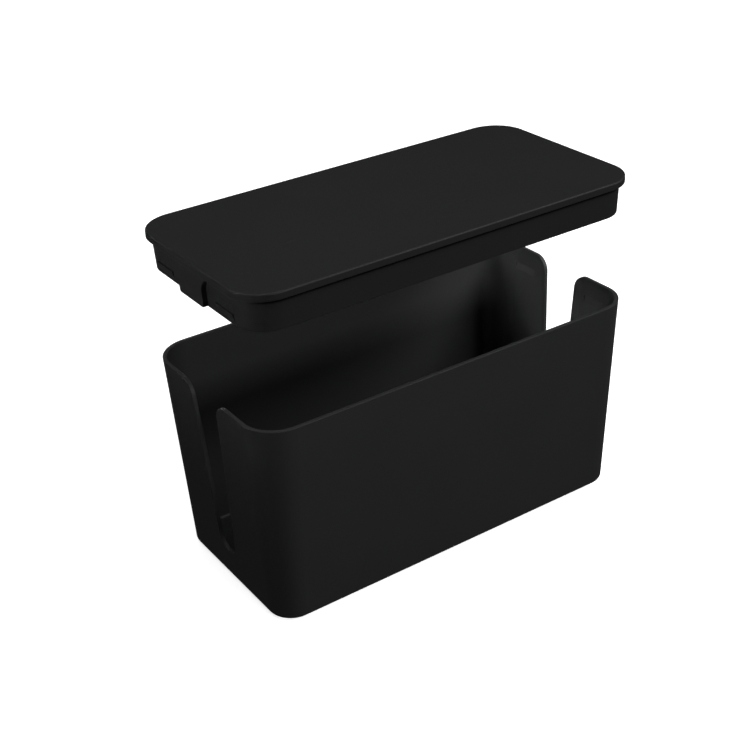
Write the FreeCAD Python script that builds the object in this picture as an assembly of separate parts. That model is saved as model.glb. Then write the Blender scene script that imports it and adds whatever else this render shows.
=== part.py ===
import FreeCAD, Part

import math
import os

from FreeCAD import Vector

# A cable box: an open tub with a cable notch in each end, a lid that lifts straight off, and four rubber feet.
# Millimetres, +Z up. The origin is the centre of the ground contact, +X along the length and +Y to the back.
# Both mouldings are drawn with the tub's underside at height zero and the lid closed. At the end everything
# is raised onto the feet, and the lid is lifted off.

# Tub
TUB_LENGTH = 235.0  # outside, at the rim
TUB_WIDTH = 115.4  # outside, at the rim
TUB_HEIGHT = 116.2  # underside to rim
CORNER_RADIUS = 19.4  # upright corners, outside, at the rim
DRAFT = math.radians(2.77)  # lean of every wall, wider at the top
WALL = 2.2
FLOOR = 2.2
BASE_ROUND = 2.7  # outside, between wall and underside
INSIDE_ROUND = 1.5  # inside, between wall and floor
EDGE_ROUND = 0.2  # both edges of the rim and of the notches

# Cable notch in each end wall, with sides that lean together towards a round bottom
NOTCH_HALF_WIDTH = 13.0  # at the rim, before its shoulders are rounded
NOTCH_LEAN = math.radians(3.0)
NOTCH_BOTTOM = 17.5  # above the underside
SHOULDER_RADIUS = 9.0

# Snap recesses inside each end wall, one on each side of the notch: wedges, deepest at the top
RECESS_DROP = 10.2  # rim to the top of the recess
RECESS_HEIGHT = 4.2
RECESS_DEPTH = 1.0

# Lid
RIM_OVERHANG = 0.3  # beyond the tub on every side
RIM_HEIGHT = 4.0
RIM_ROUND = 0.9  # top edge
PLATE = 2.0
SKIRT_DEPTH = 16.7  # below the rim of the lid
SKIRT = 1.8
SKIRT_ROUND = 0.4  # bottom edges
PLATE_ROUND = 1.0  # inside, between plate and skirt
TAB_ROUND = 1.0  # lower corners of the tabs
CLOSE_GAP = 0.25  # between the closed lid's skirt, tabs and snap ridges and the tub
LID_LIFT = 67.7  # closed to lifted off

# Feet: discs that sit in shallow round seats
FOOT_RADIUS = 5.0
FOOT_STAND = 1.0  # below the underside
FOOT_SEAT = 0.8  # depth of the seat
FOOT_SEAT_GAP = 0.2  # around the disc
FOOT_ROUND = 0.4
FOOT_INSET = 18.0  # from the underside's edges to the foot's centre

ALONG = Vector(1, 0, 0)
ACROSS = Vector(0, 1, 0)
UP = Vector(0, 0, 1)
ORIGIN = Vector(0, 0, 0)
CORE_X = TUB_LENGTH / 2 - CORNER_RADIUS  # the axes of the upright corners stand at +-CORE_X, +-CORE_Y
CORE_Y = TUB_WIDTH / 2 - CORNER_RADIUS
OVERRUN = 5.0  # how far a cutting tool runs past what it cuts
BITE = 0.5  # how far a raised detail is sunk into the wall that carries it
SMALLEST = 1e-6  # lengths under this are zero


def outer(z):
    """How far the tub's outside stands out from the corner axes at height z."""
    return CORNER_RADIUS - (TUB_HEIGHT - z) * math.tan(DRAFT)


def inner(z):
    """The same for the tub's inside."""
    return outer(z) - WALL


def skirt(z):
    """The same for the outside of the lid's skirt."""
    return inner(z) - CLOSE_GAP


def outline(corners, across=ALONG):
    """A face in the upright plane of one level direction, inside corners (distance, height, radius)."""
    points = [across * d + UP * h for d, h, _ in corners]
    starts, middles, ends = [], [], []
    for i, (_, _, radius) in enumerate(corners):
        to_last = (points[i - 1] - points[i]).normalize()
        to_next = (points[(i + 1) % len(points)] - points[i]).normalize()
        half = to_last.getAngle(to_next) / 2
        tangent = radius / math.tan(half)
        bisector = (to_last + to_next).normalize()
        starts.append(points[i] + to_last * tangent)
        middles.append(points[i] + bisector * (radius / math.sin(half) - radius))
        ends.append(points[i] + to_next * tangent)
    edges = []
    for i, (_, _, radius) in enumerate(corners):
        if radius:
            edges.append(Part.Arc(starts[i], middles[i], ends[i]).toShape())
        following = starts[(i + 1) % len(points)]
        if ends[i].distanceToPoint(following) > SMALLEST:
            edges.append(Part.LineSegment(ends[i], following).toShape())
    return Part.Face(Part.Wire(edges))


def carried_round(profile):
    """The solid that a profile makes when it is carried round the four corner axes."""
    signs = ((1, 1), (-1, 1), (-1, -1), (1, -1))
    axes = [Vector(x * CORE_X, y * CORE_Y, 0) for x, y in signs]
    pieces = []
    for i, axis in enumerate(axes):
        corner = profile.copy()
        corner.rotate(ORIGIN, UP, 90 * i)
        corner.translate(axis)
        pieces.append(corner.revolve(axis, UP, 90))
        corner.rotate(axis, UP, 90)
        pieces.append(corner.extrude(axes[(i + 1) % 4] - axis))
    return pieces


def core_block(low, high):
    """The block between the four corner axes, which closes a floor or a plate."""
    return Part.makeBox(2 * CORE_X, 2 * CORE_Y, high - low, Vector(-CORE_X, -CORE_Y, low))


def joined(pieces):
    return pieces[0].multiFuse(pieces[1:]).removeSplitter()


def both_ends(shape):
    """A shape at the +X end and its mirror image at the other end."""
    return [shape, shape.mirror(ORIGIN, ALONG)]


def both_sides(shape):
    return [shape, shape.mirror(ORIGIN, ACROSS)]


def notch_face(gap, rim, bottom_corners):
    """The notch's outline, drawn smaller by a gap all round. rim is the height of its shoulders."""
    half_width = NOTCH_HALF_WIDTH - gap / math.cos(NOTCH_LEAN) + (rim - TUB_HEIGHT) * math.tan(NOTCH_LEAN)
    radius = SHOULDER_RADIUS + gap
    shoulder_end = half_width + radius * math.tan(math.pi / 4 - NOTCH_LEAN / 2)
    right = [(half_width, rim, radius), (shoulder_end, rim, 0), (shoulder_end, rim + OVERRUN, 0)]
    left = [(-d, h, r) for d, h, r in reversed(right)]
    return outline(bottom_corners + right + left, ACROSS)


def notch_bottom():
    """The corner where the notch's two sides would meet, with the radius that puts its floor where it is."""
    meeting = TUB_HEIGHT - NOTCH_HALF_WIDTH / math.tan(NOTCH_LEAN)
    radius = (NOTCH_BOTTOM - meeting) / (1 / math.sin(NOTCH_LEAN) - 1)
    return [(0, meeting, radius)]


def shoulder_end():
    """How far from the middle the notch's shoulder runs out into the rim."""
    return NOTCH_HALF_WIDTH + SHOULDER_RADIUS * math.tan(math.pi / 4 - NOTCH_LEAN / 2)


def notch_tool():
    face = notch_face(0, TUB_HEIGHT, notch_bottom())
    face.translate(ALONG * CORE_X)
    return face.extrude(ALONG * (CORNER_RADIUS + OVERRUN))


def recess_tool():
    """The wedge cut from the inside of the end wall, between the notch's shoulder and the upright corner."""
    top = TUB_HEIGHT - RECESS_DROP
    bottom = top - RECESS_HEIGHT
    corners = [
        (CORE_X + inner(bottom) - BITE, bottom, 0),
        (CORE_X + inner(bottom), bottom, 0),
        (CORE_X + inner(top) + RECESS_DEPTH, top, 0),
        (CORE_X + inner(top) - BITE, top, 0),
    ]
    wedge = outline(corners)
    wedge.translate(ACROSS * shoulder_end())
    return wedge.extrude(ACROSS * (CORE_Y - shoulder_end()))


def foot_places():
    x = CORE_X + outer(0) - FOOT_INSET
    y = CORE_Y + outer(0) - FOOT_INSET
    return {
        "front_left": Vector(-x, -y, 0),
        "front_right": Vector(x, -y, 0),
        "rear_left": Vector(-x, y, 0),
        "rear_right": Vector(x, y, 0),
    }


def open_edges(shape, tools):
    """The edges that run along the rim and round the notches, on both faces of the wall."""
    cuts = Part.makeCompound([tool.Shells[0] for tool in tools])
    found = []
    for edge in shape.Edges:
        middle = edge.valueAt((edge.FirstParameter + edge.LastParameter) / 2)
        through_wall = edge.Length < 2 * WALL and abs(edge.tangentAt(edge.FirstParameter).x) > 0.99
        on_rim = abs(middle.z - TUB_HEIGHT) < SMALLEST
        on_cut = cuts.distToShape(Part.Vertex(middle))[0] < SMALLEST
        if (on_rim or on_cut) and not through_wall:
            found.append(edge)
    return found


def make_tub():
    profile = outline([
        (0, 0, 0),
        (outer(0), 0, BASE_ROUND),
        (outer(TUB_HEIGHT), TUB_HEIGHT, 0),
        (inner(TUB_HEIGHT), TUB_HEIGHT, 0),
        (inner(FLOOR), FLOOR, INSIDE_ROUND),
        (0, FLOOR, 0),
    ])
    shell = joined(carried_round(profile) + [core_block(0, FLOOR)])
    notches = both_ends(notch_tool())
    shell = shell.cut(notches)
    shell = shell.makeFillet(EDGE_ROUND, open_edges(shell, notches))
    recesses = [end for side in both_sides(recess_tool()) for end in both_ends(side)]
    seat = Part.makeCylinder(FOOT_RADIUS + FOOT_SEAT_GAP, FOOT_SEAT)
    seats = [seat.translated(place) for place in foot_places().values()]
    return shell.cut(recesses + seats)


def make_tab():
    """The tongue that fills the top of the notch, flush with the outside of the end wall."""
    bottom = TUB_HEIGHT - SKIRT_DEPTH
    half_width = NOTCH_HALF_WIDTH - CLOSE_GAP / math.cos(NOTCH_LEAN) - SKIRT_DEPTH * math.tan(NOTCH_LEAN)
    corners = [(-half_width, bottom, TAB_ROUND), (half_width, bottom, TAB_ROUND)]
    tongue = notch_face(CLOSE_GAP, TUB_HEIGHT + CLOSE_GAP, corners)
    tongue.translate(ALONG * CORE_X)
    tongue = tongue.extrude(ALONG * (CORNER_RADIUS + OVERRUN))
    top = TUB_HEIGHT + CLOSE_GAP
    slab = outline([
        (CORE_X + skirt(bottom) - BITE, bottom, 0),
        (CORE_X + outer(bottom), bottom, 0),
        (CORE_X + outer(top), top, 0),
        (CORE_X + skirt(top) - BITE, top, 0),
    ])
    slab.translate(ACROSS * -CORE_Y)
    return tongue.common(slab.extrude(ACROSS * 2 * CORE_Y))


def make_ridge():
    """The wedge on the skirt that snaps into the recess."""
    low = TUB_HEIGHT - RECESS_DROP - RECESS_HEIGHT
    high = TUB_HEIGHT - RECESS_DROP - CLOSE_GAP
    height = high - low
    corners = [
        (CORE_X + skirt(low) - BITE, low, 0),
        (CORE_X + skirt(low), low, 0),
        (CORE_X + skirt(high) + RECESS_DEPTH * height / RECESS_HEIGHT, high, 0),
        (CORE_X + skirt(high) - BITE, high, 0),
    ]
    wedge = outline(corners)
    start = shoulder_end() + CLOSE_GAP
    wedge.translate(ACROSS * start)
    return wedge.extrude(ACROSS * (CORE_Y - CLOSE_GAP - start))


def make_lid():
    top = TUB_HEIGHT + RIM_HEIGHT
    ceiling = top - PLATE
    bottom = TUB_HEIGHT - SKIRT_DEPTH
    profile = outline([
        (0, top, 0),
        (CORNER_RADIUS + RIM_OVERHANG, top, RIM_ROUND),
        (CORNER_RADIUS + RIM_OVERHANG, TUB_HEIGHT, SKIRT_ROUND),
        (skirt(TUB_HEIGHT), TUB_HEIGHT, 0),
        (skirt(bottom), bottom, SKIRT_ROUND),
        (skirt(bottom) - SKIRT, bottom, SKIRT_ROUND),
        (skirt(ceiling) - SKIRT, ceiling, PLATE_ROUND),
        (0, ceiling, 0),
    ])
    ridges = [end for side in both_sides(make_ridge()) for end in both_ends(side)]
    lid = joined(carried_round(profile) + [core_block(ceiling, top)] + both_ends(make_tab()) + ridges)
    return lid.translated(UP * LID_LIFT)


def make_foot(place):
    profile = outline([
        (0, -FOOT_STAND, 0),
        (FOOT_RADIUS, -FOOT_STAND, FOOT_ROUND),
        (FOOT_RADIUS, FOOT_SEAT, 0),
        (0, FOOT_SEAT, 0),
    ])
    return profile.revolve(ORIGIN, UP, 360).translated(place)


def main():
    nodes = {"tub": make_tub(), "lid": make_lid()}
    for name, place in foot_places().items():
        nodes["foot_" + name] = make_foot(place)
    os.makedirs("parts", exist_ok=True)
    for name, shape in nodes.items():
        raised = shape.translated(UP * FOOT_STAND)
        solid = raised.Solids[0]
        print(name, len(raised.Solids), solid.isValid(), round(solid.Volume, 1))
        solid.exportStep("parts/" + name + ".step")


main()
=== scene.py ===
import math

import bpy
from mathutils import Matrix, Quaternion, Vector


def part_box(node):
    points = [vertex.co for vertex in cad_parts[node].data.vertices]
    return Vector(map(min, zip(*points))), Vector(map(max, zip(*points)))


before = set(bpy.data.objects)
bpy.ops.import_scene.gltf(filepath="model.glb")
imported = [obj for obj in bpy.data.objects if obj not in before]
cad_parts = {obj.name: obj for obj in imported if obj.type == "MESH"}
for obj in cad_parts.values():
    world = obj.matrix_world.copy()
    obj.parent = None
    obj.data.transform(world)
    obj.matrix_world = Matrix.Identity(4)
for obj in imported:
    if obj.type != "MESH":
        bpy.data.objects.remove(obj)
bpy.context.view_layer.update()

# Camera: the photograph's viewing angle
VIEW_AZIMUTH = math.radians(33.10)  # from straight in front, towards the left end
VIEW_ELEVATION = math.radians(29.18)
VIEW_ROLL = math.radians(-2.83)
VIEW_DISTANCE = 0.7138
VIEW_AIM = Vector((-0.0224, -0.0111, 0.0987))
LENS = 65.03  # mm
SENSOR = 36.0  # mm
NEAREST = 0.01
FARTHEST = 20.0

# Studio
SKY = 0.06  # strength of the even light from all round
FLOOR_REACH = 6.0  # from the middle to each edge
FLOOR_TONE = 0.85
FLOOR_GLOW = 0.75  # keeps the floor pale where the lights fade
UNLIMITED = 180  # degrees of beam

# Where the finishes change, in the lid's and the tub's own coordinates
LID_RIM_HEIGHT = 0.004  # the lid's rim, from its underside to the lid's top
PAINTED_SHADE_DEPTH = 0.0030  # how far the painted shade under the rim reaches down the skirt
FLAT_END = 0.033  # across the box from its middle: within this, oblique faces belong to the notch's edges
CORNER_END = 0.037  # and beyond this, they belong to the upright corners

# Sizes of the finishes' marks
MOULD_GRAIN = 0.0005
FLOW_CLOUDS = 0.045
SCUFFS = 0.006
# The patches along the rounded edges vary both their wear and their painted highlight.
WEAR_AND_HIGHLIGHT_PATCHES = 0.004
PLASTIC_RELIEF = 0.00004
RUBBER_PORES = 0.0004
RUBBER_BLOOM = 0.003
RUBBER_RELIEF = 0.00006


def grey(value, warmth=0.0):
    return (value * (1 + warmth), value, value * (1 - warmth), 1)


def make_camera():
    camera = bpy.data.objects.new("camera", bpy.data.cameras.new("camera"))
    camera.data.lens = LENS
    camera.data.sensor_width = SENSOR
    forward = Vector((
        math.sin(VIEW_AZIMUTH) * math.cos(VIEW_ELEVATION),
        math.cos(VIEW_AZIMUTH) * math.cos(VIEW_ELEVATION),
        -math.sin(VIEW_ELEVATION),
    ))
    camera.location = VIEW_AIM - forward * VIEW_DISTANCE
    camera.rotation_mode = "QUATERNION"
    camera.rotation_quaternion = forward.to_track_quat("-Z", "Y") @ Quaternion((0, 0, 1), VIEW_ROLL)
    camera.data.clip_start = NEAREST
    camera.data.clip_end = FARTHEST
    bpy.context.scene.collection.objects.link(camera)
    bpy.context.scene.camera = camera


def soft_light(name, place, aim, size, watts, beam=UNLIMITED):
    """A rectangular light, with its width and height, that looks from a place at an aim."""
    light = bpy.data.objects.new(name, bpy.data.lights.new(name, "AREA"))
    light.data.shape = "RECTANGLE"
    light.data.size, light.data.size_y = size
    light.data.energy = watts
    light.data.spread = math.radians(beam)
    light.location = place
    light.rotation_mode = "QUATERNION"
    light.rotation_quaternion = (Vector(aim) - Vector(place)).to_track_quat("-Z", "Y")
    bpy.context.scene.collection.objects.link(light)


def make_world():
    world = bpy.data.worlds.new("studio")
    world.use_nodes = True
    background = world.node_tree.nodes["Background"]
    background.inputs["Color"].default_value = grey(1)
    background.inputs["Strength"].default_value = SKY
    bpy.context.scene.world = world
    bpy.context.scene.view_settings.view_transform = "Standard"


def make_floor():
    """A pale floor that the camera sees, but that throws no light back up at the box."""
    mesh = bpy.data.meshes.new("floor")
    r = FLOOR_REACH
    mesh.from_pydata([(-r, -r, 0), (r, -r, 0), (r, r, 0), (-r, r, 0)], [], [(0, 1, 2, 3)])
    floor = bpy.data.objects.new("floor", mesh)
    bpy.context.scene.collection.objects.link(floor)
    material = bpy.data.materials.new("floor")
    material.use_nodes = True
    shader = material.node_tree.nodes["Principled BSDF"]
    shader.inputs["Base Color"].default_value = grey(FLOOR_TONE)
    shader.inputs["Roughness"].default_value = 0.9
    shader.inputs["Specular IOR Level"].default_value = 0.0
    shader.inputs["Emission Color"].default_value = grey(1)
    shader.inputs["Emission Strength"].default_value = FLOOR_GLOW
    mesh.materials.append(material)
    floor.visible_glossy = False
    floor.visible_diffuse = False


def make_lights():
    """Light from above and in front, a narrow beam at the lid from the left, and a little from behind."""
    soft_light("overhead", place=(0.0, 0.3, 1.6), aim=(0, 0.1, 0.1), size=(1.8, 1.8), watts=12.5)
    soft_light("front_high", place=(0.7, -0.7, 0.9), aim=(0, 0, 0.08), size=(0.6, 0.4), watts=12.5)
    soft_light("front_low", place=(0.1, -1.15, 0.46), aim=(0, 0, 0.08), size=(0.6, 0.2), watts=5.3)
    soft_light("left_high", place=(-0.78, 0.13, 0.34), aim=(0, 0, 0.165), size=(0.25, 0.1), watts=0.085,
               beam=18)
    soft_light("left_low", place=(-1.2, 0.0, 0.38), aim=(0, 0, 0.1), size=(0.4, 0.15), watts=2.0)
    soft_light("rear_low", place=(0.3, 1.3, 0.12), aim=(0, 0, 0.08), size=(0.8, 0.1), watts=3)


class Surface:
    """A material with its own node tree, and short calls for the nodes that it is made of."""

    def __init__(self, name):
        self.material = bpy.data.materials.new(name)
        self.material.use_nodes = True
        self.tree = self.material.node_tree
        self.shader = self.tree.nodes["Principled BSDF"]
        coordinates = self.add("ShaderNodeTexCoord").outputs
        self.place = coordinates["Object"]
        self.normal = coordinates["Normal"]

    def add(self, kind, **settings):
        node = self.tree.nodes.new(kind)
        for key, value in settings.items():
            setattr(node, key, value)
        return node

    def feed(self, socket, value):
        if isinstance(value, bpy.types.NodeSocket):
            self.tree.links.new(value, socket)
        else:
            socket.default_value = value

    def math(self, operation, *values):
        node = self.add("ShaderNodeMath", operation=operation)
        for socket, value in zip(node.inputs, values):
            self.feed(socket, value)
        return node.outputs[0]

    def ramp(self, value, low, high, to_low=0.0, to_high=1.0):
        """A value carried smoothly from low..high to to_low..to_high, and held beyond."""
        node = self.add("ShaderNodeMapRange", interpolation_type="SMOOTHSTEP")
        for socket, number in zip(node.inputs, (value, low, high, to_low, to_high)):
            self.feed(socket, number)
        return node.outputs[0]

    def noise(self, size, detail=2.0, roughness=0.5, stretch=(1, 1, 1)):
        """Noise whose features are about size metres across."""
        mapping = self.add("ShaderNodeMapping")
        self.feed(mapping.inputs["Vector"], self.place)
        mapping.inputs["Scale"].default_value = stretch
        node = self.add("ShaderNodeTexNoise")
        self.feed(node.inputs["Vector"], mapping.outputs["Vector"])
        node.inputs["Scale"].default_value = 1 / size
        node.inputs["Detail"].default_value = detail
        node.inputs["Roughness"].default_value = roughness
        return node.outputs["Fac"]

    def split(self, vector):
        node = self.add("ShaderNodeSeparateXYZ")
        self.feed(node.inputs[0], vector)
        return node.outputs

    def mix(self, factor, first, second):
        node = self.add("ShaderNodeMix", data_type="RGBA")
        self.feed(node.inputs["Factor"], factor)
        self.feed(node.inputs["A"], first)
        self.feed(node.inputs["B"], second)
        return node.outputs["Result"]

    def bump(self, height, distance):
        node = self.add("ShaderNodeBump")
        node.inputs["Distance"].default_value = distance
        self.feed(node.inputs["Height"], height)
        self.feed(self.shader.inputs["Normal"], node.outputs["Normal"])


def edge_mask(surface):
    """Where a moulding is handled and rubbed, and where a painted highlight goes: its rounded edges, which
    face neither up nor sideways.
    """
    x, y, z = surface.split(surface.normal)
    up = surface.math("ABSOLUTE", z)
    on_rim = surface.math("MULTIPLY", surface.ramp(up, 0.12, 0.35), surface.ramp(up, 0.999, 0.95))
    across = surface.math("MULTIPLY", surface.math("ABSOLUTE", x), surface.math("ABSOLUTE", y))
    sideways = surface.math("ABSOLUTE", surface.split(surface.place)[1])
    off_corner = surface.ramp(sideways, CORNER_END, FLAT_END)
    on_notch = surface.math("MULTIPLY", surface.ramp(across, 0.05, 0.3), off_corner)
    return surface.math("MAXIMUM", on_rim, on_notch)


def inside_mask(surface):
    """One on faces that look towards the upright middle axis of the box, nought on those that look away."""
    nx, ny, _ = surface.split(surface.normal)
    px, py, _ = surface.split(surface.place)
    outwards = surface.math("ADD", surface.math("MULTIPLY", nx, px), surface.math("MULTIPLY", ny, py))
    return surface.ramp(outwards, 0.002, -0.002)


def painted_shade_mask(surface, rim_underside):
    """Painted shade: one in the corner under the lid's rim. It fades out downwards, and on the ends, where
    the tabs are.
    """
    height = surface.split(surface.place)[2]
    fade = surface.ramp(height, rim_underside - PAINTED_SHADE_DEPTH, rim_underside - PAINTED_SHADE_DEPTH / 2)
    under_rim = surface.math("MULTIPLY", fade, surface.math("LESS_THAN", height, rim_underside))
    along = surface.math("ABSOLUTE", surface.split(surface.normal)[0])
    return surface.math("MULTIPLY", under_rim, surface.ramp(along, 0.9, 0.6))


def moulded_plastic(name, tone, inside_painted_light_tone, roughness, gloss, rim_underside=None):
    """Matt black plastic: fine mould grain, faint flow marks and scuffs, edges polished by handling and
    lightened as a painted highlight, a lighter inside tone as painted light, and painted shade under the
    lid's rim.
    """
    surface = Surface(name)
    grain = surface.noise(MOULD_GRAIN, detail=3.0, roughness=0.6)
    clouds = surface.noise(FLOW_CLOUDS, detail=2.0)
    scuffs = surface.noise(SCUFFS, detail=4.0, roughness=0.7, stretch=(0.25, 1, 1))
    patches = surface.noise(WEAR_AND_HIGHLIGHT_PATCHES, detail=3.0)

    # The tub's inside gets a lighter tone: painted light, lifting the inside where the lid shades it.
    body = surface.mix(inside_mask(surface), grey(tone, -0.02), grey(inside_painted_light_tone, -0.02))
    clouded = surface.mix(surface.ramp(clouds, 0.35, 0.65, 0.0, 0.12), body, grey(tone * 1.6))
    speckled = surface.mix(surface.ramp(grain, 0.3, 0.7, 0.0, 0.12), clouded, grey(tone * 0.5))
    wear_and_painted_highlight = surface.math("MULTIPLY", edge_mask(surface), surface.ramp(patches, 0.25, 0.75, 0.45, 1.0))
    # Lighter colour on the rounded edges: partly wear from handling, partly a painted highlight.
    coloured = surface.mix(surface.math("MULTIPLY", wear_and_painted_highlight, 0.4), speckled, grey(tone * 2.0))
    shine = gloss
    if rim_underside is not None:
        # Painted shade under the lid's rim: a darker colour and less shine, fading down the skirt.
        painted_shade = surface.math("MULTIPLY", painted_shade_mask(surface, rim_underside), 0.9)
        coloured = surface.mix(painted_shade, coloured, grey(tone * 0.2))
        shine = surface.math("SUBTRACT", gloss, surface.math("MULTIPLY", painted_shade, gloss))
    surface.feed(surface.shader.inputs["Base Color"], coloured)

    rough = surface.math("ADD", roughness, surface.ramp(grain, 0.3, 0.7, -0.04, 0.04))
    rough = surface.math("ADD", rough, surface.ramp(scuffs, 0.62, 0.75, 0.0, -0.07))
    rough = surface.math("ADD", rough, surface.math("MULTIPLY", wear_and_painted_highlight, -0.04))
    surface.feed(surface.shader.inputs["Roughness"], rough)
    surface.feed(surface.shader.inputs["Specular IOR Level"], shine)

    relief = surface.math("ADD", grain, surface.math("MULTIPLY", scuffs, 0.25))
    surface.bump(relief, PLASTIC_RELIEF)
    return surface.material


def moulded_rubber(name):
    """Black rubber: dull, with coarse pores and a dusty bloom."""
    surface = Surface(name)
    pores = surface.noise(RUBBER_PORES, detail=2.0)
    bloom = surface.noise(RUBBER_BLOOM, detail=3.0)
    dusty = surface.mix(surface.ramp(bloom, 0.4, 0.7, 0.0, 0.5), grey(0.013, 0.05), grey(0.024, 0.03))
    surface.feed(surface.shader.inputs["Base Color"], dusty)
    surface.feed(surface.shader.inputs["Roughness"], surface.ramp(bloom, 0.3, 0.7, 0.72, 0.88))
    surface.shader.inputs["Specular IOR Level"].default_value = 0.35
    surface.bump(pores, RUBBER_RELIEF)
    return surface.material


make_camera()
make_world()
make_floor()
make_lights()
lid_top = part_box("lid")[1].z
finishes = {
    "tub": moulded_plastic("tub_plastic", tone=0.010, inside_painted_light_tone=0.024, roughness=0.6, gloss=0.3),
    "lid": moulded_plastic(
        "lid_plastic",
        tone=0.0066,
        inside_painted_light_tone=0.0066,
        roughness=0.62,
        gloss=0.17,
        rim_underside=lid_top - LID_RIM_HEIGHT,
    ),
    "foot": moulded_rubber("foot_rubber"),
}
for name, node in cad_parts.items():
    finish = finishes[name.split("_")[0]]
    for slot in node.material_slots:
        slot.material = finish
